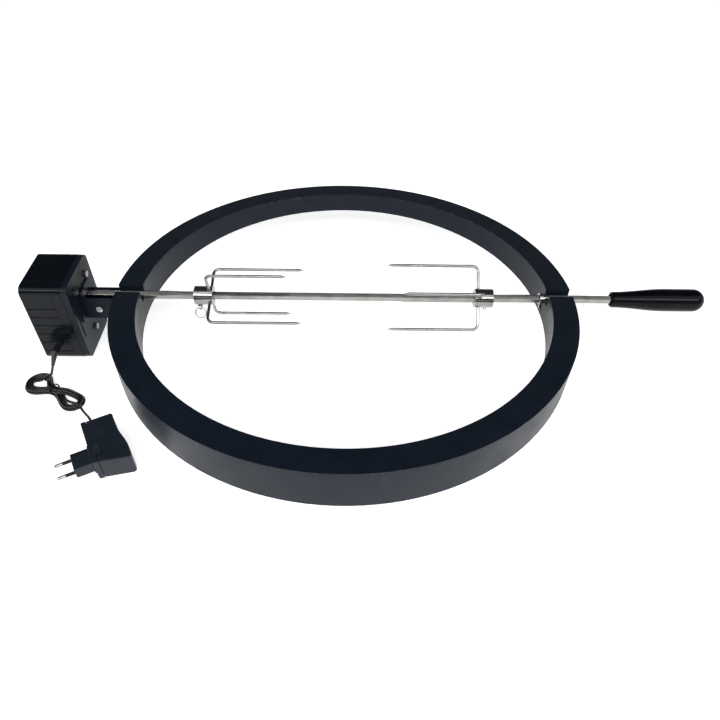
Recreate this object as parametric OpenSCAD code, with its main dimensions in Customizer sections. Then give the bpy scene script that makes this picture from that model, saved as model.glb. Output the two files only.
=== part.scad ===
// Rotisserie for a round charcoal grill: a wedge-shaped spacer ring carries a geared motor on a
// channel arm, and a hexagonal spit with two meat forks lies in two notches of the ring.
// Millimetres. +Z is up and z = 0 is the ring's flat underside. The spit lies along X,
// the motor is on -X and the handle on +X. The ring is tallest at the front, on -Y.

/* [Ring] */
// outer diameter of the ring
ring_od = 600; // [520:5:680]
// width of the ring's flat top, from the outer wall to the inner wall
ring_width = 32; // [20:1:50]
// height of the ring on the line of the spit
ring_mid_h = 42.2; // [36:0.2:60]
// slope of the ring's top, which falls towards the back
ring_tilt = 2.7; // [0:0.1:5]
// thickness of the sheet steel
sheet = 2; // [1:0.5:4]
// clear width of the notches for the spit
notch_w = 16; // [13:0.5:24]
// height of the notch floor over the underside
notch_floor_z = 25; // [20:0.5:30]

/* [Spit] */
// height of the spit's axis over the ring's underside
spit_z = 32; // [28:0.5:45]
// width across the flats of the hexagonal bar
spit_af = 10; // [8:0.5:14]
// where the bar ends in the motor, along X
spit_x0 = -367; // [-400:1:-350]
// where the bar ends in the handle, along X
spit_x1 = 430; // [380:1:450]
// where the handle begins, along X
handle_x0 = 355; // [320:1:400]
// length of the handle
handle_len = 126; // [90:1:160]
// largest diameter of the handle
handle_d = 30.5; // [22:0.5:40]

/* [Forks] */
// diameter of a fork's hub
hub_d = 25; // [20:0.5:32]
// length of a fork's hub
hub_len = 24; // [16:1:32]
// diameter of the prong wire
prong_d = 4; // [3:0.5:6]
// distance of the prongs from the spit's axis
prong_r = 42.6; // [30:0.2:60]
// bend radius of the prongs at the corner
prong_bend = 8; // [5:0.5:12]
// outer end of the left fork's hub, along X
left_hub_x = -199; // [-230:1:-150]
// outer end of the right fork's hub, along X
right_hub_x = 195; // [150:1:230]
// length of the prongs from the hub to the tip
prong_len = 121; // [80:1:150]
// how much shorter every second prong is
prong_step = 18; // [0:1:40]
// turn of the left fork's prongs about the spit
left_turn = 16.5; // [0:0.5:90]
// turn of the right fork's prongs about the spit
right_turn = 45; // [0:0.5:90]

/* [Motor] */
// end face of the motor case, along X
case_x0 = -404; // [-420:1:-390]
// seam between the motor case and its cover, along X
seam_x = -366; // [-375:1:-360]
// outer face of the cover, along X
cover_x1 = -353.7; // [-360:0.1:-350]
// outer face of the steel mounting plate, along X
plate_x1 = -345.5; // [-350:0.5:-335]
// width of the motor case
case_w = 82; // [70:1:95]
// lowest point of the motor case
case_z0 = -49; // [-60:1:-30]
// highest point of the motor case
case_z1 = 71; // [60:1:85]
// radius of the long edges of the motor case
case_r = 10; // [4:1:16]
// wall thickness of the plastic case
case_wall = 2.5; // [1.5:0.5:4]

/* [Power supply] */
// diameter of the low-voltage cord
cord_d = 3.2; // [2.5:0.1:4]
// thickness of the plug-in power supply as it lies on its side
supply_t = 30; // [24:1:36]
// distance between the two mains pins
pin_gap = 18.6; // [17.5:0.1:19]
// length of a mains pin
pin_len = 19; // [18:0.5:20]

/* [Hidden] */
$fn = 64;
gap = 0.1;                          // running clearance on a radius
big = 900;                          // larger than the whole object
ring_r = ring_od / 2;
ring_ri = ring_r - ring_width;
spit_rc = spit_af / sqrt(3);        // corner radius of the hexagonal bar
bore_rc = spit_rc + gap * 2 / sqrt(3);
screw_turn = 240;                   // left thumbscrew and set screw: the lower front flat
right_screw_turn = 300;             // right thumbscrew: the lower back flat
eye_r = 16.5;                       // from the spit's axis to a thumbscrew's eye
pull_r = 7;                         // centre-line radius of a pull ring
pull_wire_r = 0.75;
left_screw_x = left_hub_x + 6;
right_screw_x = right_hub_x - 6;
left_prong_x = left_hub_x + hub_len - 4;
right_prong_x = right_hub_x - hub_len + 5.5;
collar_x0 = 258;                    // inner end of the collar beside the right notch
collar_flange_r = 8;
collar_screw_x = collar_x0 + 2.5;
arm_w = 24.2;                       // outer width of the motor's channel arm
arm_top_z = 34;
tab_w = 20;                         // outer width of the ring's channel bracket
arm_screw = [-325, 17.5];           // x and z of the arm's cross screws
plate_screw_yz = [[20, 50], [-20, 50], [0, -24]];
gear_plate_x = -372;                // back of the gearbox plate
motor_z = -11.2;                    // height of the motor's shaft
lay_z = 8;                          // height of the compound gear's axle
jack = [-382, -22.4];               // x and z of the low-voltage socket
switch_z = 30;
floor_z = case_z0;                  // the cord and the power supply lie at this height
cord_r = cord_d / 2;
supply_at = [-310.9, -177.5];       // the power supply's cable corner, seen from above
supply_turn = -61.4;
supply_z0 = floor_z;
supply_mid_z = floor_z + supply_t / 2;
cover_t = 6;                        // thickness of the power supply's pin cover
plug_u = 46;                        // middle of the plug head along the power supply
plug_out = 21;                      // how far the plug head stands out
hank_at = [-373, -104];             // middle of the folded cord
hank_turn = -30;
hank_h = 12.8;
latch_u = [39.5, 56];
latch_v = [2.3, 12.7];

// the lead from the low-voltage plug to the folded cord
lead_in = [
    [-382, -70.9, -30.4], [-382, -74.6, -32.5], [-382.6, -77.4, -35.4], [-384, -79.5, -38.5]
];

// the lead from the folded cord to the power supply
lead_out = [
    [-334, -129, -41], [-329.5, -134.5, -40.6], [-324, -141.5, -39.4], [-317.5, -149, -37],
    [-311.5, -155.8, -34.6], [-307, -161.8, -34]
];

// ---------------------------------------------------------------- helpers

// a cylinder along +X
module rod_x(x0, x1, r) {
    translate([x0, 0, 0]) rotate([0, 90, 0]) cylinder(h = x1 - x0, r = r);
}

// a hexagonal bar along +X with one corner up
module hex_x(x0, x1, rc) {
    translate([x0, 0, 0]) rotate([0, 90, 0]) cylinder(h = x1 - x0, r = rc, $fn = 6);
}

// places children at the spit's axis
module on_spit() {
    translate([0, 0, spit_z]) children();
}

// a block along X with four round long edges
module round_block(x0, x1, half_w, z0, z1, r) {
    union() {
        translate([x0, -half_w, z0 + r]) cube([x1 - x0, 2 * half_w, z1 - z0 - 2 * r]);
        translate([x0, r - half_w, z0]) cube([x1 - x0, 2 * (half_w - r), z1 - z0]);
        for (y = [r - half_w, half_w - r], z = [z0 + r, z1 - r])
            translate([0, y, z]) rod_x(x0, x1, r);
    }
}

// everything above the ring's sloping top, lowered by drop
module above_top(drop) {
    translate([0, 0, ring_mid_h]) rotate([-ring_tilt, 0, 0])
        translate([-big / 2, -big / 2, -drop]) cube([big, big, 200]);
}

// the space of both notches, above a floor
module notch_space(z0, w) {
    translate([-big / 2, -w / 2, z0]) cube([big, w, 100]);
}

// the ring's band between two radii
module band(r0, r1, z0, z1) {
    translate([0, 0, z0]) difference() {
        cylinder(h = z1 - z0, r = r1, $fn = 180);
        translate([0, 0, -1]) cylinder(h = z1 - z0 + 2, r = r0, $fn = 180);
    }
}

// one gear outline with straight-sided teeth
function gear_outline(teeth, m, turn) = [
    for (i = [0 : teeth - 1], p = [[-0.32, -1.2], [-0.11, 0.85], [0.11, 0.85], [0.32, -1.2]])
        let (a = turn + 360 / teeth * (i + p[0]), r = m * (teeth / 2 + p[1]))
            [r * cos(a), r * sin(a)]
];

// a gear along X, from x0 to x1, centred at height z
module gear_x(x0, x1, z, teeth, m, turn) {
    translate([x0, 0, z]) rotate([90, 0, 90])
        linear_extrude(height = x1 - x0) polygon(gear_outline(teeth, m, turn));
}

// a tube swept along a route, as one closed solid
function unit(v) = v / norm(v);
function way(p, i) = unit(p[min(i + 1, len(p) - 1)] - p[max(i - 1, 0)]);
function side_of(d) = unit(cross(d, abs(d[2]) > 0.9 ? [0, 1, 0] : [0, 0, 1]));

module swept_tube(route, r, sides = 8) {
    n = len(route);
    points = [
        for (i = [0 : n - 1])
            let (d = way(route, i), a = side_of(d), b = cross(d, a))
                for (k = [0 : sides - 1])
                    route[i] + r * (a * cos(360 * k / sides) + b * sin(360 * k / sides))
    ];
    walls = [
        for (i = [0 : n - 2], k = [0 : sides - 1])
            let (a = i * sides + k, b = i * sides + (k + 1) % sides)
                each [[a, a + sides, b], [b, a + sides, b + sides]]
    ];
    first = [for (k = [0 : sides - 1]) k];
    last = [for (k = [sides - 1 : -1 : 0]) (n - 1) * sides + k];
    polyhedron(points, concat(walls, [first, last]), convexity = 10);
}

// ---------------------------------------------------------------- ring

module ring_bottom_plate() {
    color("#15181d") band(ring_ri, ring_r, 0, sheet);
}

module ring_wall(r0, r1) {
    difference() {
        band(r0, r1, sheet, ring_mid_h + 20);
        above_top(sheet);
        notch_space(notch_floor_z, notch_w);
    }
}

module ring_outer_wall() {
    color("#1b1f26") ring_wall(ring_r - sheet, ring_r);
}

module ring_inner_wall() {
    color("#1b1f26") ring_wall(ring_ri, ring_ri + sheet);
}

module ring_top_plate() {
    color("#10141b") difference() {
        intersection() {
            band(ring_ri, ring_r, ring_mid_h - 25, ring_mid_h + 25);
            above_top(sheet);
        }
        above_top(0);
        notch_space(notch_floor_z, notch_w);
    }
}

// an open channel between the two walls that lines one notch
module notch_channel(side) {
    half = notch_w / 2;
    color("#0d1014") difference() {
        intersection() {
            band(ring_ri + sheet, ring_r - sheet, notch_floor_z - sheet, ring_mid_h + 10);
            translate([side > 0 ? 0 : -big / 2, -half - sheet, notch_floor_z - sheet])
                cube([big / 2, notch_w + 2 * sheet, 40]);
        }
        notch_space(notch_floor_z, notch_w);
        above_top(sheet);
    }
}

module notch_channel_left() {
    notch_channel(-1);
}

module notch_channel_right() {
    notch_channel(1);
}

// ---------------------------------------------------------------- arm

// an open-topped channel along X, cut to the ring's outer wall
module channel_x(x0, x1, w, z0, z1) {
    difference() {
        translate([x0, -w / 2, z0]) cube([x1 - x0, w, z1 - z0]);
        translate([x0 - 1, sheet - w / 2, z0 + sheet]) cube([x1 - x0 + 2, w - 2 * sheet, z1]);
    }
}

module arm_screw_holes(r) {
    for (s = [-1, 1])
        translate([arm_screw[0], s * (arm_w / 2 - 1), arm_screw[1]])
            rotate([90, 0, 0]) cylinder(h = 8, r = r, center = true);
}

module ring_bracket() {
    color("#14171c") difference() {
        channel_x(-334, -ring_r + 6, tab_w, 4, arm_top_z - 2);
        translate([0, 0, -5]) cylinder(h = 60, r = ring_r, $fn = 180);
        arm_screw_holes(2.6);
    }
}

module motor_arm() {
    flange_x0 = plate_x1;
    color("#1a1d22") difference() {
        union() {
            channel_x(flange_x0 + sheet, -ring_r - 1.5, arm_w, 1, arm_top_z);
            round_block(flange_x0, flange_x0 + sheet, 27, 1, 43, 8);
        }
        on_spit() rod_x(flange_x0 - 1, flange_x0 + sheet + 1, 9.6);
        arm_screw_holes(2.6);
    }
}

// pan-head cross screws through the arm and the ring's bracket
module arm_screws() {
    color("#b9bcc0") for (s = [-1, 1])
        translate([arm_screw[0], s * arm_w / 2, arm_screw[1]]) rotate([-90 * s, 0, 0])
            difference() {
                union() {
                    translate([0, 0, -8]) cylinder(h = 8, r = 2.5);
                    cylinder(h = 2.6, r = 4.5);
                }
                for (t = [0, 90])
                    rotate([0, 0, t]) translate([-2.4, -0.5, 1.2]) cube([4.8, 1, 3]);
            }
}

// hexagonal nuts inside the ring's bracket
module arm_nuts() {
    color("#9a9da2") for (s = [-1, 1])
        translate([arm_screw[0], s * (tab_w / 2 - sheet), arm_screw[1]]) rotate([-90 * s, 0, 0])
            difference() {
                translate([0, 0, -3.2]) cylinder(h = 3.2, r = 4.6, $fn = 6);
                translate([0, 0, -4]) cylinder(h = 5, r = 2.6);
            }
}

// ---------------------------------------------------------------- motor

// a shallow steel tray over the motor's cover
module mount_plate() {
    half = case_w / 2 - 0.5;
    z0 = case_z0 + 1;
    z1 = case_z1 - 0.5;
    color("#4a4d52") difference() {
        round_block(cover_x1, plate_x1, half, z0, z1, case_r - 1);
        round_block(cover_x1 - 1, plate_x1 - sheet, half - sheet, z0 + sheet, z1 - sheet, case_r - 3);
        on_spit() rod_x(cover_x1, plate_x1 + 1, 13);
        for (p = plate_screw_yz) {
            translate([0, p[0], p[1]]) rod_x(cover_x1, plate_x1 + 1, 2.2);
        }
        for (s = [-1, 1]) {
            translate([0, s * 14, 38.5]) rotate([-28 * s, 0, 0]) {
                rod_x(cover_x1, plate_x1 + 1, 2);
                translate([cover_x1, -2, 0]) cube([plate_x1 - cover_x1 + 1, 4, 6]);
            }
        }
        translate([cover_x1, -34.6, -12]) cube([plate_x1 - cover_x1 + 1, 3.2, 36]);
        for (z = [-12, 24])
            translate([0, -33, z]) rod_x(cover_x1, plate_x1 + 1, 1.6);
    }
}

module plate_washers() {
    color("#0a0b0d") for (p = plate_screw_yz)
        translate([0, p[0], p[1]]) difference() {
            rod_x(plate_x1, plate_x1 + 0.8, 5.4);
            rod_x(plate_x1 - 1, plate_x1 + 2, 2.2);
        }
}

module plate_screws() {
    head_x = plate_x1 + 0.8;
    color("#c4c7cb") for (p = plate_screw_yz)
        translate([0, p[0], p[1]]) difference() {
            union() {
                rod_x(gear_plate_x + 3.4, head_x, 2);
                rod_x(head_x, head_x + 2.4, 3.9);
            }
            for (t = [0, 90])
                rotate([t, 0, 0]) translate([head_x + 1.1, -2.1, -0.45]) cube([3, 4.2, 0.9]);
        }
}

module motor_cover() {
    half = case_w / 2;
    x0 = seam_x + 0.4;
    lip = case_wall + 0.1;
    color("#0c0d10") difference() {
        union() {
            round_block(x0, cover_x1, half, case_z0, case_z1, case_r);
            round_block(x0 - 4, x0 + 1, half - lip, case_z0 + lip, case_z1 - lip, case_r - lip);
        }
        round_block(x0 - 5, cover_x1 - case_wall, half - lip - 1.5, case_z0 + lip + 1.5,
            case_z1 - lip - 1.5, case_r - lip - 1.5);
        on_spit() rod_x(cover_x1 - 5, cover_x1 + 1, 12.05);
        for (p = plate_screw_yz)
            translate([0, p[0], p[1]]) rod_x(cover_x1 - 5, cover_x1 + 1, 2.2);
    }
}

module motor_case() {
    half = case_w / 2;
    groove = 0.8;
    groove_z = [39, 25.5, 12, -2.5, -17.5, -33];
    color("#0c0d10") difference() {
        round_block(case_x0, seam_x, half, case_z0, case_z1, case_r);
        round_block(case_x0 + case_wall, seam_x + 1, half - case_wall, case_z0 + case_wall,
            case_z1 - case_wall, case_r - case_wall);
        for (z = groove_z, s = [-1, 1])
            translate([case_x0 + 1.5, s * half - groove, z - 0.6])
                cube([seam_x - case_x0, 2 * groove, 1.2]);
        for (y = [-12, 12])
            translate([case_x0 + 1.5, y - 0.6, case_z1 - groove])
                cube([seam_x - case_x0, 1.2, 2 * groove]);
        translate([jack[0], -half - 1, jack[1]]) rotate([-90, 0, 0]) cylinder(h = 5, r = 5.1);
        translate([case_x0 - 1, -9.6, switch_z - 6.6]) cube([5, 19.2, 13.2]);
    }
}

// low-voltage socket with a flange outside the case
module dc_jack() {
    color("#101114") translate([jack[0], -case_w / 2, jack[1]]) rotate([-90, 0, 0])
        difference() {
            union() {
                translate([0, 0, -1]) cylinder(h = 1, r = 6.6);
                cylinder(h = 13, r = 5);
            }
            translate([0, 0, -2]) cylinder(h = 13.5, r = 2.85);
        }
}

module switch_bezel() {
    color("#111215") difference() {
        union() {
            translate([case_x0 - 1.5, -11.5, switch_z - 8.5]) cube([1.5, 23, 17]);
            translate([case_x0, -9.5, switch_z - 6.5]) cube([13, 19, 13]);
        }
        translate([case_x0 - 3, -8, switch_z - 5.2]) cube([13, 16, 10.4]);
    }
}

// a rocker that stands up at its front end
module switch_rocker() {
    color("#8f1c1c") translate([case_x0 + 4, 0, switch_z]) rotate([0, 0, 8]) difference() {
        translate([-4.5, -7, -4.9]) cube([9, 14, 9.8]);
        translate([-17.6, 0, -6]) cylinder(h = 12, r = 14.2);
    }
}

module gearbox_plate() {
    color("#8c9096") difference() {
        translate([gear_plate_x, -28, -32]) cube([1.6, 56, 90]);
        translate([0, 0, motor_z]) rod_x(gear_plate_x - 1, gear_plate_x + 3, 3.2);
        translate([0, 0, lay_z]) rod_x(gear_plate_x - 1, gear_plate_x + 3, 1.55);
        on_spit() rod_x(gear_plate_x - 1, gear_plate_x + 3, 4.1);
    }
}

module gearbox_pillars() {
    color("#a9adb2") for (p = plate_screw_yz)
        translate([0, p[0], p[1]]) difference() {
            rod_x(gear_plate_x + 1.6, cover_x1 - case_wall, 3.4);
            rod_x(gear_plate_x + 2.6, cover_x1, 2.1);
        }
}

module lay_axle() {
    color("#b5b8bc") translate([0, 0, lay_z]) rod_x(gear_plate_x, cover_x1 - case_wall - 0.3, 1.5);
}

module cover_bush() {
    color("#b08d4a") on_spit() difference() {
        union() {
            rod_x(cover_x1 - case_wall - 1.5, cover_x1 - case_wall, 14);
            rod_x(cover_x1 - case_wall, cover_x1 + 1, 12);
        }
        rod_x(cover_x1 - 10, cover_x1 + 5, 9.05);
    }
}

module motor_can() {
    x1 = gear_plate_x;
    color("#a7aab0") translate([0, 0, motor_z]) difference() {
        union() {
            rod_x(x1 - 27.5, x1, 13.85);
            rod_x(x1 - 29, x1 - 27.5, 4);
            rod_x(x1, x1 + 1.4, 3);
        }
        rod_x(x1 - 6, x1 + 3, 1.1);
    }
}

module motor_pinion() {
    color("#c9a227") union() {
        gear_x(-370, -364.2, motor_z, 12, 0.8, 15);
        translate([0, 0, motor_z]) rod_x(-376, -363.6, 1);
    }
}

module compound_gear() {
    color("#d9d6cc") difference() {
        union() {
            gear_x(-369.6, -364.6, lay_z, 36, 0.8, 0);
            gear_x(-364.6, -358, lay_z, 12, 1, 15);
        }
        translate([0, 0, lay_z]) rod_x(-371, -355, 1.56);
    }
}

module output_gear() {
    color("#9ea2a8") difference() {
        gear_x(-363.8, -358.6, spit_z, 36, 1, 0);
        on_spit() rod_x(-366, -356, 9);
    }
}

// hexagonal socket that turns the spit
module drive_socket() {
    color("#8a8e94") on_spit() difference() {
        union() {
            rod_x(gear_plate_x + 0.2, -368.6, 4);
            rod_x(-368.6, -364.2, 8);
            rod_x(-364.2, plate_x1 + 3, 9);
        }
        hex_x(spit_x0 - 0.4, plate_x1 + 4, bore_rc);
    }
}

// ---------------------------------------------------------------- spit

module spit_rod() {
    color("#b9bcc0") on_spit() hex_x(spit_x0, spit_x1, spit_rc);
}

module handle() {
    r = handle_d / 2;
    nose_r = 10.5;
    lip = 2.5;
    swell = 70;
    straight = handle_len - r;
    neck = [for (a = [180 : -15 : 90]) [nose_r - lip + lip * sin(a), lip + lip * cos(a)]];
    flank = [
        for (i = [1 : 8])
            let (t = i / 8) [nose_r + (r - nose_r) * (3 * t * t - 2 * t * t * t), lip + swell * t]
    ];
    end = [for (a = [0 : 7.5 : 90]) [r * cos(a), straight + r * sin(a)]];
    color("#08090b") on_spit() difference() {
        translate([handle_x0, 0, 0]) rotate([0, 90, 0])
            rotate_extrude($fn = 64) polygon(concat([[0, 0]], neck, flank, end));
        rod_x(handle_x0 - 1, handle_x0 + 5, 7.4);
        hex_x(handle_x0, spit_x1 + 0.5, spit_rc + 0.06);
    }
}

// grooved collar that keeps the bar in the right notch
module rod_collar() {
    color("#b4b7bb") on_spit() difference() {
        union() {
            rod_x(collar_x0, collar_x0 + 5, collar_flange_r);
            rod_x(collar_x0 + 5, collar_x0 + 13.5, 6.4);
        }
        hex_x(collar_x0 - 1, collar_x0 + 15, bore_rc);
        translate([collar_screw_x, 0, 0]) rotate([screw_turn - 90, 0, 0])
            cylinder(h = 12, r = 1.55);
    }
}

module collar_screw() {
    color("#c4c7cb") on_spit() translate([collar_screw_x, 0, 0])
        rotate([screw_turn - 90, 0, 0]) difference() {
            union() {
                translate([0, 0, spit_af / 2 + 0.15]) cylinder(h = 5, r = 1.5);
                translate([0, 0, collar_flange_r + 0.3]) cylinder(h = 4.5, r = 2.4);
            }
            translate([-3, -0.4, collar_flange_r + 3.6]) cube([6, 0.8, 2]);
        }
}

// ---------------------------------------------------------------- forks

module fork_hub(x0, prong_x, turn, screw_x, screw_dir) {
    color("#a8abb0") on_spit() difference() {
        rod_x(x0, x0 + hub_len, hub_d / 2);
        hex_x(x0 - 1, x0 + hub_len + 1, bore_rc);
        for (i = [0 : 3])
            rotate([turn + 90 * i, 0, 0]) translate([prong_x, 7.4, 0]) rotate([-90, 0, 0])
                cylinder(h = 10, r = prong_d / 2 + 0.05);
        translate([screw_x, 0, 0]) rotate([screw_dir - 90, 0, 0]) cylinder(h = 20, r = 2.6);
    }
}

// one prong in the plane of X and Y, with its foot on the hub and its tip at dir * len
module prong(dir, len) {
    r = prong_d / 2;
    point = 6;
    union() {
        translate([0, 7.6, 0]) rotate([-90, 0, 0]) cylinder(h = prong_r - prong_bend - 7.6, r = r);
        translate([dir * prong_bend, prong_r - prong_bend, 0]) rotate([0, 0, dir > 0 ? 90 : 0])
            rotate_extrude(angle = 90, $fn = 64) translate([prong_bend, 0]) circle(r = r);
        translate([dir * prong_bend, prong_r, 0]) rotate([0, dir * 90, 0])
            cylinder(h = len - prong_bend - point, r = r);
        translate([dir * (len - point), prong_r, 0]) rotate([0, dir * 90, 0])
            cylinder(h = point, r1 = r, r2 = 0.4);
    }
}

module fork_prongs(prong_x, turn, dir) {
    color("#b3b6ba") on_spit() for (i = [0 : 3])
        rotate([turn + 90 * i, 0, 0]) translate([prong_x, 0, 0])
            prong(dir, prong_len - prong_step * (i % 2));
}

// places children with +Z along a thumbscrew and its foot on the spit's axis
module on_screw(x, screw_dir) {
    on_spit() translate([x, 0, 0]) rotate([screw_dir - 90, 0, 0]) children();
}

// a screw with a flattened head, whose eye runs along its own X, turned by eye_turn
module thumbscrew(x, screw_dir, eye_turn) {
    color("#c0c3c7") on_screw(x, screw_dir) rotate([0, 0, eye_turn]) difference() {
        union() {
            translate([0, 0, spit_af / 2 + 0.15]) cylinder(h = 8, r = 2.5);
            translate([0, 0, hub_d / 2 + 0.4]) cylinder(h = 1.6, r = 3.6);
            translate([-1.3, 0, eye_r]) rotate([0, 90, 0]) cylinder(h = 2.6, r = 3);
            translate([-1.3, -2.6, hub_d / 2 + 1]) cube([2.6, 5.2, 2.6]);
        }
        translate([-3, 0, eye_r]) rotate([0, 90, 0]) cylinder(h = 6, r = 1.3);
    }
}

module pull_ring(x, screw_dir, eye_turn) {
    color("#c6c9cd") on_screw(x, screw_dir) rotate([0, 0, eye_turn]) translate([0, 0, eye_r + pull_r])
        rotate([90, 0, 0]) rotate_extrude($fn = 64) translate([pull_r, 0]) circle(r = pull_wire_r);
}

module fork_hub_left() {
    fork_hub(left_hub_x, left_prong_x, left_turn, left_screw_x, screw_turn);
}

module fork_prongs_left() {
    fork_prongs(left_prong_x, left_turn, 1);
}

module thumbscrew_left() {
    thumbscrew(left_screw_x, screw_turn, 0);
}

module pull_ring_left() {
    pull_ring(left_screw_x, screw_turn, 0);
}

module fork_hub_right() {
    fork_hub(right_hub_x - hub_len, right_prong_x, right_turn, right_screw_x, right_screw_turn);
}

module fork_prongs_right() {
    fork_prongs(right_prong_x, right_turn, -1);
}

module thumbscrew_right() {
    thumbscrew(right_screw_x, right_screw_turn, 70);
}

module pull_ring_right() {
    pull_ring(right_screw_x, right_screw_turn, 70);
}

// ---------------------------------------------------------------- cord

// low-voltage plug: a metal barrel in the socket and a moulded grip
module dc_plug() {
    color("#17181b") translate([jack[0], -case_w / 2, jack[1]]) rotate([90, 0, 0]) union() {
        translate([0, 0, -9]) cylinder(h = 10.2, r = 2.75);
        translate([0, 0, 1.2]) cylinder(h = 14.8, r = 4.6);
    }
}

// ribbed strain relief that droops from the plug
module dc_plug_boot() {
    grip_end = [jack[0], -case_w / 2 - 16, jack[1]];
    color("#17181b") difference() {
        translate(grip_end) rotate([90 + 30, 0, 0]) difference() {
            translate([0, 0, -4]) cylinder(h = 20, r1 = 4.6, r2 = 2.3);
            for (z = [3.5 : 3 : 13])
                translate([0, 0, z]) difference() {
                    cylinder(h = 1.2, r = 6);
                    translate([0, 0, -1]) cylinder(h = 4, r = 3.2 - 0.1 * z);
                }
        }
        translate(grip_end - [20, 0, 20]) cube([40, 40, 40]);
    }
}

module cord_lead_in() {
    color("#141518") swept_tube(lead_in, cord_r);
}

module cord_lead_out() {
    color("#141518") swept_tube(lead_out, cord_r);
}

// outer shape of the folded cord: two round ends and a narrow waist
module cord_hank() {
    left_r = 18;
    right_r = 15;
    color("#18191c") translate([hank_at[0], hank_at[1], floor_z]) rotate([0, 0, hank_turn])
        union() {
            translate([-29, 0, 0]) cylinder(h = hank_h, r = left_r);
            translate([32, 0, 0]) cylinder(h = hank_h, r = right_r);
            linear_extrude(height = hank_h)
                polygon([[-24, -17], [0, -7], [27, -14], [27, 14], [0, 7], [-24, 17]]);
        }
}

// twisted wire tie round the waist of the folded cord
module cord_tie() {
    w = 8.6;
    color("#0d0e10") translate([hank_at[0], hank_at[1], floor_z]) rotate([0, 0, hank_turn])
        union() {
            difference() {
                translate([-1.5, -w, 0]) cube([3, 2 * w, hank_h + 1]);
                translate([-3, -w + 0.9, -1]) cube([6, 2 * w - 1.8, hank_h + 1.1]);
            }
            for (s = [-1, 1])
                translate([0, s * w, hank_h - 1.5]) rotate([-s * 80, 0, 0]) cylinder(h = 9, r = 1);
        }
}

// ---------------------------------------------------------------- power supply

// places children in the power supply's frame: x along it from the cable, y from its pin side
module in_supply() {
    translate([supply_at[0], supply_at[1], 0]) rotate([0, 0, supply_turn]) children();
}

module supply_boot() {
    color("#17181b") in_supply() translate([0, 11, supply_mid_z]) rotate([0, -90, 0])
        cylinder(h = 12, r1 = 3.6, r2 = 2.2);
}

module latch_pocket(extra) {
    translate([latch_u[0] - extra, latch_v[0] - extra, supply_z0 + supply_t - 3.4])
        cube([latch_u[1] - latch_u[0] + 2 * extra, latch_v[1] - latch_v[0] + 2 * extra, 5]);
}

module supply_case() {
    outline = [
        [0, cover_t + 0.3], [0, 34.3], [2, 36.3], [22, 36.3], [30, 36.9], [38, 38.4], [46, 40.2],
        [54, 41.3], [62, 41.6], [70, 41.4], [73.4, 40.4], [74.6, 37.5], [66, cover_t + 0.3]
    ];
    wall = 2.2;
    color("#22262c") in_supply() difference() {
        translate([0, 0, supply_z0]) linear_extrude(height = supply_t) polygon(outline);
        translate([wall, cover_t - 1, supply_z0 + wall])
            cube([61, 36 - cover_t - wall, supply_t - 2 * wall - 3.4]);
        latch_pocket(0.2);
    }
}

module supply_cover() {
    color("#22262c") in_supply() difference() {
        translate([0, 0, supply_z0]) linear_extrude(height = supply_t)
            polygon([[0.6, 0], [0, 1.4], [0, cover_t], [66, cover_t], [65, 1.4], [64, 0]]);
        latch_pocket(0.2);
        for (s = [-1, 1])
            translate([plug_u + s * pin_gap / 2, 3, supply_mid_z]) rotate([90, 0, 0])
                cylinder(h = 6, r = 2.1);
    }
}

module supply_board() {
    color("#1f5a36") in_supply()
        translate([6, 9, supply_z0 + 4]) cube([52, 1.6, supply_t - 12]);
}

module supply_transformer() {
    color("#c8a53a") in_supply()
        translate([22, 12, supply_z0 + 4.5]) cube([22, 18, supply_t - 13]);
}

module plug_head() {
    half = 12.2;
    color("#20242a") in_supply() difference() {
        union() {
            translate([plug_u - half, -plug_out, supply_mid_z - 7.5]) cube([2 * half, plug_out - 1.5, 15]);
            translate([plug_u - half - 2, -1.6, supply_mid_z - 9.5]) cube([2 * half + 4, 1.5, 19]);
        }
        for (s = [-1, 1])
            translate([plug_u + s * pin_gap / 2, 1, supply_mid_z]) rotate([90, 0, 0])
                cylinder(h = plug_out + 3, r = 2.1);
    }
}

module plug_pins() {
    color("#cfd2d6") in_supply() for (s = [-1, 1])
        translate([plug_u + s * pin_gap / 2, 2, supply_mid_z]) rotate([90, 0, 0]) union() {
            cylinder(h = plug_out + 12, r = 1.5);
            translate([0, 0, plug_out + 12]) cylinder(h = pin_len - 11.5, r = 2);
            translate([0, 0, plug_out + pin_len + 0.5]) cylinder(h = 1.5, r1 = 2, r2 = 1);
        }
}

module pin_sleeves() {
    color("#101113") in_supply() for (s = [-1, 1])
        translate([plug_u + s * pin_gap / 2, -plug_out + 2, supply_mid_z]) rotate([90, 0, 0])
            difference() {
                cylinder(h = 12, r = 2);
                translate([0, 0, -1]) cylinder(h = 14, r = 1.56);
            }
}

module latch_button() {
    color("#1d2126") in_supply() difference() {
        translate([latch_u[0], latch_v[0], supply_z0 + supply_t - 1.9])
            cube([latch_u[1] - latch_u[0], latch_v[1] - latch_v[0], 2.2]);
        for (u = [latch_u[0] + 3 : 3 : latch_u[1] - 2])
            translate([u - 0.3, latch_v[0] + 2, supply_z0 + supply_t]) cube([0.6, 6.4, 1]);
    }
}

// ---------------------------------------------------------------- nodes

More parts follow.
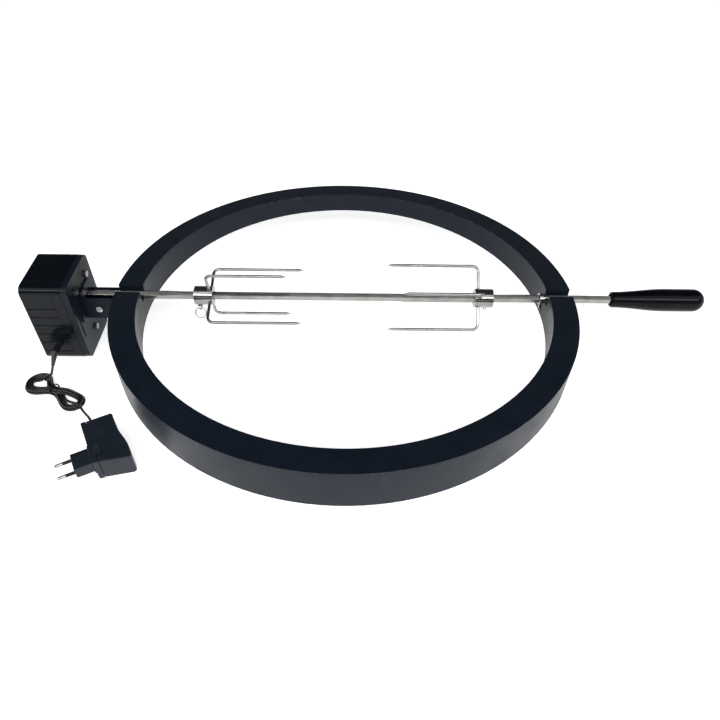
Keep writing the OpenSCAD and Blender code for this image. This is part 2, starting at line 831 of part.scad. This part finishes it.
ring_bottom_plate();
ring_outer_wall();
ring_inner_wall();
ring_top_plate();
notch_channel_left();
notch_channel_right();
ring_bracket();
motor_arm();
arm_screws();
arm_nuts();
mount_plate();
plate_washers();
plate_screws();
motor_cover();
motor_case();
dc_jack();
switch_bezel();
switch_rocker();
gearbox_plate();
gearbox_pillars();
lay_axle();
cover_bush();
motor_can();
motor_pinion();
compound_gear();
output_gear();
drive_socket();
spit_rod();
handle();
rod_collar();
collar_screw();
fork_hub_left();
fork_prongs_left();
thumbscrew_left();
pull_ring_left();
fork_hub_right();
fork_prongs_right();
thumbscrew_right();
pull_ring_right();
dc_plug();
dc_plug_boot();
cord_lead_in();
cord_hank();
cord_tie();
cord_lead_out();
supply_boot();
supply_case();
supply_cover();
supply_board();
supply_transformer();
plug_head();
plug_pins();
pin_sleeves();
latch_button();
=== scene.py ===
import math

import bpy
from mathutils import Matrix, Vector


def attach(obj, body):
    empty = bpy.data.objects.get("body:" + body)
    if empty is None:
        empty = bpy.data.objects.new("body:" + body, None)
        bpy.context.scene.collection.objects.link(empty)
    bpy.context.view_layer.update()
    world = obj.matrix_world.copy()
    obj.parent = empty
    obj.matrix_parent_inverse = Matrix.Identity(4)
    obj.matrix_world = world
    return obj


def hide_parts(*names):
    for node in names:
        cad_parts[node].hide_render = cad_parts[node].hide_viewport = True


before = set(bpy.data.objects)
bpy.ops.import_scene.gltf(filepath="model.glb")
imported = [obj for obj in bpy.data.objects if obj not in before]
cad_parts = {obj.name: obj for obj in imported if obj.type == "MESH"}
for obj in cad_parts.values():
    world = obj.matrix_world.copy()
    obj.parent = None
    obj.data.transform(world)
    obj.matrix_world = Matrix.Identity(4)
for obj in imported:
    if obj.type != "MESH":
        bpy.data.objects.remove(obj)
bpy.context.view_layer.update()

MM = 0.001
FLOOR_Z = -0.049        # the level of the motor's lowest face, in metres
CORD_D = 3.2            # in mm


# ---------------------------------------------------------------- camera

LENS_MM = 31.05
SENSOR_MM = 36.0
CLIP = (0.01, 50.0)
CAMERA_AT = (0.0, -0.6462, 0.5545)
CAMERA_RIGHT = (0.9997, -0.0107, 0.0224)
CAMERA_FORWARD = (0.0234, 0.7098, -0.7040)


def make_camera():
    """From the front and above, looking down at about 45 degrees."""
    data = bpy.data.cameras.new("main_camera")
    data.lens = LENS_MM
    data.sensor_width = SENSOR_MM
    data.clip_start, data.clip_end = CLIP
    cam = bpy.data.objects.new("main_camera", data)
    bpy.context.scene.collection.objects.link(cam)
    right = Vector(CAMERA_RIGHT)
    forward = Vector(CAMERA_FORWARD).normalized()
    right = (right - forward * right.dot(forward)).normalized()
    up = right.cross(forward)
    turn = Matrix((right, up, -forward)).transposed().to_4x4()
    cam.matrix_world = Matrix.Translation(CAMERA_AT) @ turn
    bpy.context.scene.camera = cam


# ---------------------------------------------------------------- the cord

# All of it is in mm. The hank's own directions are s along it, w across it and z up.
HANK_CENTRE = (-373.0, -104.0)
HANK_E = (0.866, -0.5)
HANK_F = (0.5, 0.866)
LOBE_LEFT = -29.0
LOBE_RIGHT = 32.0
LAYER_Z = (-47.4, -44.2)        # the level of each layer of turns
PEAK_Z = (-40.6, -37.4)         # how high its returning strands pass at the tie
CLIMB = 18.0                    # the run in which a returning strand climbs
TIE_LIFT = 0.5                  # how far the tie lifts the outgoing strands
TIE_REACH = 16.0                # and how far along them

# half-width of the left lobe, and of the next turn's, half-width of the right lobe,
# place at the tie on the way out and on the way back, layer
TURNS = [
    (9.7, 13.0, 6.6, 3.4, -3.4, 0),
    (13.0, 16.3, 9.9, 0.0, 0.0, 0),
    (16.3, 14.6, 13.2, -3.4, 3.4, 0),
    (14.6, 11.3, 11.5, -1.7, 1.7, 1),
    (11.3, 8.0, 8.2, 1.7, -1.7, 1),
]

# from the plug down to the floor, in the part's own directions
LEAD_IN = [(-382, -70.9, -30.4), (-382, -74.6, -32.5), (-382.6, -77.4, -35.4), (-384, -79.5, -38.5)]
# from the hank up to the power supply, in the part's own directions
LEAD_OUT = [
    (-334, -129, -41), (-329.5, -134.5, -40.6), (-324, -141.5, -39.4),
    (-317.5, -149, -37), (-311.5, -155.8, -34.6), (-307, -161.8, -34),
]
# into the first turn, in the hank's directions
ENTRY = [
    (-25.2, 12.4, -39.7), (-27.8, 9.0, -41.7), (-29.9, 6.3, -44.5),
    (-32.9, 4.9, -46.6), (-36.3, 3.0, -47.4),
]
# out of the last turn, over the hank's right end, in the hank's directions
LEAVING = [
    (8.0, 4.6, -43.9), (14.0, 2.0, -44.1), (20.0, -1.6, -43.9), (26.0, -3.9, -42.8),
    (32.0, -4.4, -41.6), (38.0, -3.9, -41.0),
]


def metres(points):
    return [tuple(c * MM for c in p) for p in points]


def smooth(t):
    """From 0 to 1, level at both ends."""
    t = min(max(t, 0.0), 1.0)
    return 0.5 - 0.5 * math.cos(math.pi * t)


def between(a, b, t):
    return a + (b - a) * smooth(t)


def hank_point(s, w, z):
    """A point in the hank's own directions, as a point of the part, in mm."""
    x = HANK_CENTRE[0] + s * HANK_E[0] + w * HANK_F[0]
    y = HANK_CENTRE[1] + s * HANK_E[1] + w * HANK_F[1]
    return (x, y, z)


def lobe_points(centre, r0, r1, a0, a1, z, count):
    """Points round one end of the hank, without the last one."""
    out = []
    for i in range(count):
        t = i / count
        r = r0 + (r1 - r0) * t
        a = math.radians(a0 + (a1 - a0) * t)
        out.append((centre + r * math.cos(a), r * math.sin(a), z))
    return out


def hump(s):
    """How far a returning strand has climbed over the outgoing ones."""
    if s < 0:
        return smooth((s - LOBE_LEFT) / CLIMB)
    return smooth((LOBE_RIGHT - s) / CLIMB)


def out_side(left, right, waist, z):
    """Along the near side of the hank, from its left end to its right end."""
    out = []
    for s in (LOBE_LEFT, -22.0, -15.0, -8.0, 0.0, 8.0, 16.0, 24.0):
        if s < 0:
            w = between(-left, waist, (s - LOBE_LEFT) / -LOBE_LEFT)
        else:
            w = between(waist, -right, s / LOBE_RIGHT)
        out.append((s, w, z + TIE_LIFT * (1.0 - smooth(abs(s) / TIE_REACH))))
    return out


def back_side(left, right, waist, z_from, z_to, peak):
    """Back along the far side, over the outgoing strands at the tie."""
    out = []
    for s in (LOBE_RIGHT, 26.0, 20.0, 14.0, 7.0, 0.0, -7.0, -12.0, -17.0, -23.0):
        if s > 0:
            w = between(right, waist, (LOBE_RIGHT - s) / LOBE_RIGHT)
            z = z_from + (peak - z_from) * hump(s)
        else:
            w = between(waist, left, s / LOBE_LEFT)
            z = z_to + (peak - z_to) * hump(s)
        out.append((s, w, z))
    return out


def hank_points():
    """The five turns of the hank, in its own directions."""
    pts = []
    for i, (left, following, right, near, far, layer) in enumerate(TURNS):
        z = LAYER_Z[layer]
        z_next = LAYER_Z[TURNS[i + 1][5]] if i + 1 < len(TURNS) else LAYER_Z[1]
        pts += lobe_points(LOBE_LEFT, left, left, 180, 270, z, 4)
        pts += out_side(left, right, near, z)
        pts += lobe_points(LOBE_RIGHT, right, right, -90, 90, z, 6)
        pts += back_side(left, right, far, z, z_next, PEAK_Z[layer])
        pts += lobe_points(LOBE_LEFT, left, following, 90, 180, z_next, 4)
    pts += lobe_points(LOBE_LEFT, 8.0, 8.0, 180, 270, LAYER_Z[1], 4)
    pts += [p for p in out_side(8.0, 4.9, 5.1, LAYER_Z[1]) if p[0] < 4.0]
    return pts


def cord_route():
    """The whole cord from the plug to the power supply, in metres."""
    own = [hank_point(*p) for p in ENTRY + hank_points() + LEAVING]
    return metres(LEAD_IN + own + LEAD_OUT)


def curve_data(points, radius, around, resolution):
    """A smooth curve through the points, round if it has a radius."""
    data = bpy.data.curves.new("line", "CURVE")
    data.dimensions = "3D"
    data.resolution_u = resolution
    data.bevel_depth = radius
    data.bevel_resolution = around
    data.use_fill_caps = True
    line = data.splines.new("BEZIER")
    line.bezier_points.add(len(points) - 1)
    for knot, co in zip(line.bezier_points, points):
        knot.co = co
        knot.handle_left_type = "AUTO"
        knot.handle_right_type = "AUTO"
    return data


def meshed(data):
    """The mesh that a curve makes."""
    obj = bpy.data.objects.new("line", data)
    bpy.context.scene.collection.objects.link(obj)
    bpy.context.view_layer.update()
    graph = bpy.context.evaluated_depsgraph_get()
    mesh = bpy.data.meshes.new_from_object(obj.evaluated_get(graph))
    bpy.data.objects.remove(obj)
    return mesh


def tube(name, points, radius, around, resolution):
    """A round tube along a smooth line through the points, and that line."""
    line = meshed(curve_data(points, 0.0, 0, resolution))
    path = [tuple(v.co) for v in line.vertices]
    mesh = meshed(curve_data(points, radius, around, resolution))
    mesh.name = name
    mesh.polygons.foreach_set("use_smooth", [True] * len(mesh.polygons))
    obj = bpy.data.objects.new(name, mesh)
    bpy.context.scene.collection.objects.link(obj)
    return obj, path


def make_cord():
    cord, path = tube("power_cord", cord_route(), CORD_D / 2 * MM, 5, 6)
    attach(cord, "root")
    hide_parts("cord_lead_in", "cord_hank", "cord_lead_out")
    return cord, path


# ---------------------------------------------------------------- the wire tie

TIE_HALF = (6.5, 6.65)          # half the width and half the height of a turn
TIE_MIDDLE = (0.85, -41.75)     # the middle of a turn, w and z
TIE_ROUNDING = 0.6              # below 1, the oblong's corners fill out
BAND_STEPS = 49
BAND_START = 70                 # in degrees, as is the step
BAND_STEP = 15
BAND_PITCH = 0.07
BAND_RADIUS = 0.55
TAIL_STEPS = 30
TAIL_TWISTS = 3.2
TAIL_RADIUS = 0.5


def rounded(size, value):
    return size * math.copysign(abs(value) ** TIE_ROUNDING, value)


def tie_section(a):
    """One turn of the tie round the neck of the hank: a rounded oblong."""
    w = rounded(TIE_HALF[0], math.cos(a)) + TIE_MIDDLE[0]
    z = rounded(TIE_HALF[1], math.sin(a)) + TIE_MIDDLE[1]
    return w, z


def band_points():
    """The two turns round the neck, side by side."""
    out = []
    for i in range(BAND_STEPS):
        w, z = tie_section(math.radians(BAND_START + i * BAND_STEP))
        out.append(hank_point(-1.6 + i * BAND_PITCH, w, z))
    return out


def tail_points(side):
    """One of the two ends: they turn round each other and part at their tips."""
    out = []
    for i in range(TAIL_STEPS + 1):
        t = i / TAIL_STEPS
        a = side + t * 2 * math.pi * TAIL_TWISTS
        r = 0.56 + 2.4 * max(0.0, t - 0.85)
        s = 0.4 + 8.5 * t
        w = 3.0 - 4.0 * t
        z = -34.7 - 0.5 * t
        out.append(hank_point(s, w + r * math.cos(a), z + r * math.sin(a)))
    return out


def coat_wire(piece):
    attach(piece, "root")
    paint(piece, "tie_wire")


def make_tie():
    """A coated wire round the neck, its two ends twisted together and laid down."""
    band = tube("tie_band", metres(band_points()), BAND_RADIUS * MM, 2, 3)[0]
    tails = [metres(tail_points(side)) for side in (0.0, math.pi)]
    for i, tail in enumerate(tails):
        coat_wire(tube("tie_tail_%d" % (i + 1), tail, TAIL_RADIUS * MM, 2, 3)[0])
    coat_wire(band)
    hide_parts("cord_tie")
    return ["tie_band", "tie_tail_1", "tie_tail_2"]


# ---------------------------------------------------------------- materials

class Nodes:
    """A small helper that makes and joins a material's nodes."""

    def __init__(self, name):
        self.material = bpy.data.materials.new(name)
        self.material.use_nodes = True
        self.tree = self.material.node_tree
        self.tree.nodes.clear()
        self.out = self.add("ShaderNodeOutputMaterial")
        self.shader = self.add("ShaderNodeBsdfPrincipled")
        self.join(self.shader, "BSDF", self.out, "Surface")
        self.place = self.add("ShaderNodeTexCoord")

    def add(self, kind):
        """A new node of this kind."""
        return self.tree.nodes.new(kind)

    def join(self, a, out_name, b, in_name):
        self.tree.links.new(a.outputs[out_name], b.inputs[in_name])

    def stretched(self, scale):
        """The object's own coordinates, scaled along each axis."""
        mapping = self.add("ShaderNodeMapping")
        mapping.inputs["Scale"].default_value = scale
        self.join(self.place, "Object", mapping, "Vector")
        return mapping

    def noise(self, scale, detail=4.0, rough=0.55, stretch=(1, 1, 1)):
        n = self.add("ShaderNodeTexNoise")
        n.inputs["Scale"].default_value = scale
        n.inputs["Detail"].default_value = detail
        n.inputs["Roughness"].default_value = rough
        self.join(self.stretched(stretch), "Vector", n, "Vector")
        return n

    def spread(self, source, low, high, start=0.3, end=0.7):
        """Maps a texture's value to the range low to high."""
        n = self.add("ShaderNodeMapRange")
        n.inputs["From Min"].default_value = start
        n.inputs["From Max"].default_value = end
        n.inputs["To Min"].default_value = low
        n.inputs["To Max"].default_value = high
        self.join(source[0], source[1], n, "Value")
        return n

    def ramp(self, source, a, b, start=0.3, end=0.7):
        """Maps a texture's value to the colours from a to b."""
        n = self.add("ShaderNodeValToRGB")
        n.color_ramp.elements[0].position = start
        n.color_ramp.elements[1].position = end
        n.color_ramp.elements[0].color = (*a, 1)
        n.color_ramp.elements[1].color = (*b, 1)
        self.join(source[0], source[1], n, "Fac")
        return n

    def bump(self, source, strength, distance, under=None):
        """Raises the surface by a texture, on top of an earlier bump if there is one."""
        n = self.add("ShaderNodeBump")
        n.inputs["Strength"].default_value = strength
        n.inputs["Distance"].default_value = distance
        self.join(source[0], source[1], n, "Height")
        if under is not None:
            self.join(under, "Normal", n, "Normal")
        self.join(n, "Normal", self.shader, "Normal")
        return n

    def edges(self, radius, low, high):
        """1 within radius of an edge and 0 elsewhere, from how far two normals part."""
        soft = self.add("ShaderNodeBevel")
        soft.samples = 4
        soft.inputs["Radius"].default_value = radius
        flat = self.add("ShaderNodeNewGeometry")
        dot = self.add("ShaderNodeVectorMath")
        dot.operation = "DOT_PRODUCT"
        self.join(soft, "Normal", dot, "Vector")
        self.tree.links.new(flat.outputs["Normal"], dot.inputs[1])
        n = self.add("ShaderNodeMapRange")
        n.inputs["From Min"].default_value = high
        n.inputs["From Max"].default_value = low
        self.tree.links.new(dot.outputs["Value"], n.inputs["Value"])
        return n

    def times(self, a, a_out, b, b_out):
        n = self.add("ShaderNodeMath")
        n.operation = "MULTIPLY"
        self.tree.links.new(a.outputs[a_out], n.inputs[0])
        self.tree.links.new(b.outputs[b_out], n.inputs[1])
        return n


WORN_PAINT = (0.16, 0.165, 0.17, 1)


def painted_metal():
    """Satin powder coat: fine orange peel, uneven gloss and chips along the edges."""
    m = Nodes("powder_coat")
    cloud = m.noise(38.0, 5.0)
    base = m.ramp((cloud, "Fac"), (0.0044, 0.0080, 0.0145), (0.0078, 0.0118, 0.0195))
    chips = m.noise(260.0, 3.0, 0.7)
    chip_mask = m.spread((chips, "Fac"), 0.0, 1.0, 0.60, 0.66)
    edge = m.edges(0.0009, 0.955, 0.995)
    worn = m.times(edge, "Result", chip_mask, "Result")
    mix = m.add("ShaderNodeMix")
    mix.data_type = "RGBA"
    m.tree.links.new(worn.outputs[0], mix.inputs[0])
    m.tree.links.new(base.outputs["Color"], mix.inputs[6])
    mix.inputs[7].default_value = WORN_PAINT
    m.tree.links.new(mix.outputs[2], m.shader.inputs["Base Color"])
    smudge = m.noise(22.0, 6.0, 0.6)
    rough = m.spread((smudge, "Fac"), 0.30, 0.44)
    m.join(rough, "Result", m.shader, "Roughness")
    peel = m.noise(1500.0, 2.0, 0.5)
    first = m.bump((peel, "Fac"), 0.16, 0.0002)
    waves = m.noise(16.0, 2.0, 0.5)
    m.bump((waves, "Fac"), 0.12, 0.0012, first)
    m.shader.inputs["Specular IOR Level"].default_value = 0.14
    return m.material


def steel(name, dark, light, rough, grain, strength=0.12, spots=0.0):
    """Bare metal with its grain along X and light handling marks."""
    m = Nodes(name)
    cloud = m.noise(55.0, 5.0)
    base = m.ramp((cloud, "Fac"), dark, light)
    m.join(base, "Color", m.shader, "Base Color")
    m.shader.inputs["Metallic"].default_value = 1.0
    lines = m.noise(900.0, 3.0, 0.6, grain)
    spread = m.spread((lines, "Fac"), rough[0], rough[1])
    m.join(spread, "Result", m.shader, "Roughness")
    first = m.bump((lines, "Fac"), strength, 0.00008)
    if spots:
        marks = m.noise(420.0, 5.0, 0.7)
        m.bump((marks, "Fac"), spots, 0.0001, first)
    return m.material


def plastic(name, dark, light, rough, grain_scale, grain, level=0.3, scuffs=0.04):
    """Moulded plastic: fine texture, faint scuffs and uneven gloss."""
    m = Nodes(name)
    cloud = m.noise(60.0, 5.0)
    base = m.ramp((cloud, "Fac"), dark, light)
    m.join(base, "Color", m.shader, "Base Color")
    smudge = m.noise(45.0, 6.0, 0.65)
    spread = m.spread((smudge, "Fac"), rough[0], rough[1])
    m.join(spread, "Result", m.shader, "Roughness")
    fine = m.noise(grain_scale, 3.0, 0.6)
    first = m.bump((fine, "Fac"), grain, 0.0001)
    lines = m.noise(240.0, 4.0, 0.7, (1.0, 0.12, 0.35))
    m.bump((lines, "Fac"), scuffs, 0.00008, first)
    m.shader.inputs["Specular IOR Level"].default_value = level
    return m.material


def rubber():
    """The cord's soft sheath: dull, with very fine drawing lines and dust."""
    m = Nodes("soft_black")
    cloud = m.noise(120.0, 5.0)
    base = m.ramp((cloud, "Fac"), (0.0040, 0.0045, 0.0060), (0.0090, 0.0098, 0.0120))
    m.join(base, "Color", m.shader, "Base Color")
    smudge = m.noise(90.0, 5.0, 0.6)
    spread = m.spread((smudge, "Fac"), 0.24, 0.36)
    m.join(spread, "Result", m.shader, "Roughness")
    fine = m.noise(1800.0, 2.0, 0.5)
    m.bump((fine, "Fac"), 0.2, 0.0001)
    return m.material


def board_green():
    """A circuit board: two greens in fine patches."""
    m = Nodes("board")
    cells = m.noise(300.0, 2.0)
    base = m.ramp((cells, "Fac"), (0.015, 0.07, 0.03), (0.03, 0.12, 0.05), 0.45, 0.55)
    m.join(base, "Color", m.shader, "Base Color")
    m.shader.inputs["Roughness"].default_value = 0.4
    fine = m.noise(900.0, 2.0)
    m.bump((fine, "Fac"), 0.1, 0.0001)
    return m.material


def make_materials():
    """One material for each slot of the record."""
    return {
        "powder_coat": painted_metal(),
        "plate_steel": steel("plate_steel", (0.30, 0.31, 0.325), (0.40, 0.41, 0.42),
                             (0.30, 0.46), (0.06, 1, 0.35), 0.14, 0.08),
        "bright_steel": steel("bright_steel", (0.34, 0.345, 0.355), (0.46, 0.465, 0.475),
                              (0.12, 0.24), (1, 1, 1), 0.06, 0.05),
        "stainless": steel("stainless", (0.27, 0.27, 0.255), (0.39, 0.39, 0.37),
                           (0.14, 0.26), (0.03, 1, 1), 0.10, 0.04),
        "gloss_case": plastic("gloss_case", (0.0022, 0.0036, 0.0056), (0.0040, 0.0060, 0.0084),
                              (0.10, 0.17), 1300.0, 0.03, 0.15, 0.02),
        "gloss_handle": plastic("gloss_handle", (0.0012, 0.0016, 0.0028), (0.0026, 0.0032, 0.0048),
                                (0.15, 0.24), 1100.0, 0.03, 0.12, 0.02),
        "black_plastic": plastic("black_plastic", (0.004, 0.004, 0.005), (0.009, 0.009, 0.011),
                                 (0.35, 0.5), 1500.0, 0.14),
        "red_plastic": plastic("red_plastic", (0.36, 0.012, 0.010), (0.45, 0.020, 0.016),
                               (0.25, 0.38), 1200.0, 0.06),
        "brass": steel("brass", (0.62, 0.43, 0.16), (0.74, 0.54, 0.24), (0.2, 0.34), (1, 1, 1)),
        "nylon": plastic("nylon", (0.66, 0.65, 0.60), (0.76, 0.75, 0.70), (0.4, 0.55), 900.0, 0.1),
        "soft_black": rubber(),
        "tie_wire": plastic("tie_wire", (0.0030, 0.0030, 0.0036), (0.0070, 0.0070, 0.0080),
                            (0.34, 0.46), 2000.0, 0.1, 0.2),
        "satin_case": plastic("satin_case", (0.0085, 0.0130, 0.0200), (0.0130, 0.0185, 0.0265),
                              (0.34, 0.46), 2200.0, 0.26, 0.28),
        "board": board_green(),
    }


MATERIALS = make_materials()


def paint(obj, slot):
    """Gives every material slot of a piece the same material."""
    data = obj.data
    if len(data.materials) == 0:
        data.materials.append(MATERIALS[slot])
    for i in range(len(data.materials)):
        data.materials[i] = MATERIALS[slot]


# ---------------------------------------------------------------- carried-over nodes

NODE_SLOTS = {
    "powder_coat": ["ring_outer_wall", "ring_inner_wall", "ring_top_plate", "ring_bottom_plate",
                    "notch_channel_left", "notch_channel_right", "ring_bracket", "motor_arm",
                    "mount_plate"],
    "bright_steel": ["arm_screws", "arm_nuts", "plate_screws", "lay_axle", "collar_screw",
                     "thumbscrew_left", "thumbscrew_right", "pull_ring_left",
                     "pull_ring_right", "plug_pins"],
    "plate_steel": ["gearbox_plate", "gearbox_pillars", "motor_can",
                    "output_gear", "drive_socket"],
    "stainless": ["spit_rod", "rod_collar", "fork_hub_left", "fork_hub_right",
                  "fork_prongs_left", "fork_prongs_right"],
    "gloss_case": ["motor_cover", "motor_case"],
    "gloss_handle": ["handle"],
    "black_plastic": ["dc_jack", "switch_bezel", "plate_washers", "pin_sleeves"],
    "red_plastic": ["switch_rocker"],
    "brass": ["cover_bush", "motor_pinion"],
    "nylon": ["compound_gear", "supply_transformer"],
    "soft_black": ["dc_plug", "dc_plug_boot", "supply_boot"],
    "satin_case": ["supply_case", "supply_cover", "plug_head", "latch_button"],
    "board": ["supply_board"],
}

# width of the rounded edges in mm, for a slot's nodes and for the nodes that differ
EDGE_MM = {
    "powder_coat": 0.28, "bright_steel": 0.12, "plate_steel": 0.2, "stainless": 0.22,
    "gloss_case": 0.9, "gloss_handle": 0.7, "black_plastic": 0.2, "red_plastic": 0.3,
    "brass": 0.1, "nylon": 0.1, "soft_black": 0.25, "satin_case": 1.0, "board": 0.1,
}
NODE_EDGE_MM = {
    "motor_case": 0.3, "motor_cover": 0.5,
    "supply_case": 2.4, "supply_cover": 1.0, "plug_head": 1.1, "latch_button": 0.35,
    "mount_plate": 0.45, "spit_rod": 0.3, "fork_hub_left": 0.7, "fork_hub_right": 0.7,
    "fork_prongs_left": 0.1, "fork_prongs_right": 0.1, "rod_collar": 0.4,
}


WELD_M = 0.000002
SHARP_ANGLE = 34        # in degrees: a shallower edge is left as it is


def soften(obj, width):
    """Rounded edges by modifiers. The vertices stay; the stored normals are dropped."""
    if "custom_normal" in obj.data.attributes:
        obj.data.attributes.remove(obj.data.attributes["custom_normal"])
    obj.data.polygons.foreach_set("use_smooth", [True] * len(obj.data.polygons))
    weld = obj.modifiers.new("weld", "WELD")
    weld.merge_threshold = WELD_M
    bevel = obj.modifiers.new("round", "BEVEL")
    bevel.width = width * MM
    bevel.segments = 3
    bevel.limit_method = "ANGLE"
    bevel.angle_limit = math.radians(SHARP_ANGLE)
    bevel.use_clamp_overlap = True
    bevel.miter_outer = "MITER_ARC"
    normal = obj.modifiers.new("normals", "WEIGHTED_NORMAL")
    normal.keep_sharp = True
    normal.weight = 60


def finish_nodes():
    """Paints and softens every CAD node that stays."""
    for slot, names in NODE_SLOTS.items():
        for name in names:
            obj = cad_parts[name]
            paint(obj, slot)
            soften(obj, NODE_EDGE_MM.get(name, EDGE_MM[slot]))


# ---------------------------------------------------------------- floor and light

FLOOR_HALF = 30.0
FLOOR_GREY = 0.93
FLOOR_GLOW = 0.66       # so that it comes out white
LIGHT_AIM = (0, 0, 0)
HORIZON = (0.78, 0.79, 0.80, 1)
SKY = (0.045, 0.05, 0.058, 1)

# name, place, width and height in metres, watts
LIGHTS = [
    ("overhead", (0.0, -1.05, 2.9), (5.6, 0.9), 26.0),
    ("front_strip", (0.0, -2.2, 2.25), (6.0, 0.75), 100.0),
    ("left_side", (-2.6, -0.4, 1.6), (0.8, 1.4), 9.0),
    ("right_side", (2.6, -0.4, 1.6), (0.8, 1.4), 9.0),
]


def make_floor():
    """A plain floor that reaches the horizon and gives off a little light."""
    mesh = bpy.data.meshes.new("floor")
    r = FLOOR_HALF
    mesh.from_pydata([(-r, -r, FLOOR_Z), (r, -r, FLOOR_Z), (r, r, FLOOR_Z), (-r, r, FLOOR_Z)],
                     [], [(0, 1, 2, 3)])
    obj = bpy.data.objects.new("floor", mesh)
    bpy.context.scene.collection.objects.link(obj)
    m = Nodes("floor")
    m.shader.inputs["Base Color"].default_value = (FLOOR_GREY, FLOOR_GREY, FLOOR_GREY, 1)
    m.shader.inputs["Roughness"].default_value = 0.9
    m.shader.inputs["Specular IOR Level"].default_value = 0.1
    m.shader.inputs["Emission Color"].default_value = (1, 1, 1, 1)
    m.shader.inputs["Emission Strength"].default_value = FLOOR_GLOW
    mesh.materials.append(m.material)


def area_light(name, place, size, watts):
    data = bpy.data.lights.new(name, "AREA")
    data.shape = "RECTANGLE"
    data.size, data.size_y = size
    data.energy = watts
    obj = bpy.data.objects.new(name, data)
    bpy.context.scene.collection.objects.link(obj)
    obj.location = place
    direction = Vector(LIGHT_AIM) - Vector(place)
    obj.rotation_mode = "QUATERNION"
    obj.rotation_quaternion = direction.to_track_quat("-Z", "Y")


def make_lights():
    for light in LIGHTS:
        area_light(*light)


def make_world():
    """A pale horizon, and a dim sky above it, so that the flat tops stay dark."""
    world = bpy.data.worlds.new("room")
    bpy.context.scene.world = world
    world.use_nodes = True
    tree = world.node_tree
    tree.nodes.clear()
    out = tree.nodes.new("ShaderNodeOutputWorld")
    back = tree.nodes.new("ShaderNodeBackground")
    place = tree.nodes.new("ShaderNodeTexCoord")
    split = tree.nodes.new("ShaderNodeSeparateXYZ")
    ramp = tree.nodes.new("ShaderNodeValToRGB")
    tree.links.new(place.outputs["Generated"], split.inputs[0])
    tree.links.new(split.outputs["Z"], ramp.inputs["Fac"])
    ramp.color_ramp.elements[0].position = 0.12
    ramp.color_ramp.elements[0].color = HORIZON
    ramp.color_ramp.elements[1].position = 0.30
    ramp.color_ramp.elements[1].color = SKY
    tree.links.new(ramp.outputs["Color"], back.inputs["Color"])
    tree.links.new(back.outputs[0], out.inputs["Surface"])


def make_view():
    """The plain view transform, which keeps the dark paint dark."""
    bpy.context.scene.view_settings.view_transform = "Standard"


# ---------------------------------------------------------------- all of it


make_camera()
power_cord, cord_path = make_cord()
paint(power_cord, "soft_black")
tie_names = make_tie()
finish_nodes()
make_floor()
make_lights()
make_world()
make_view()
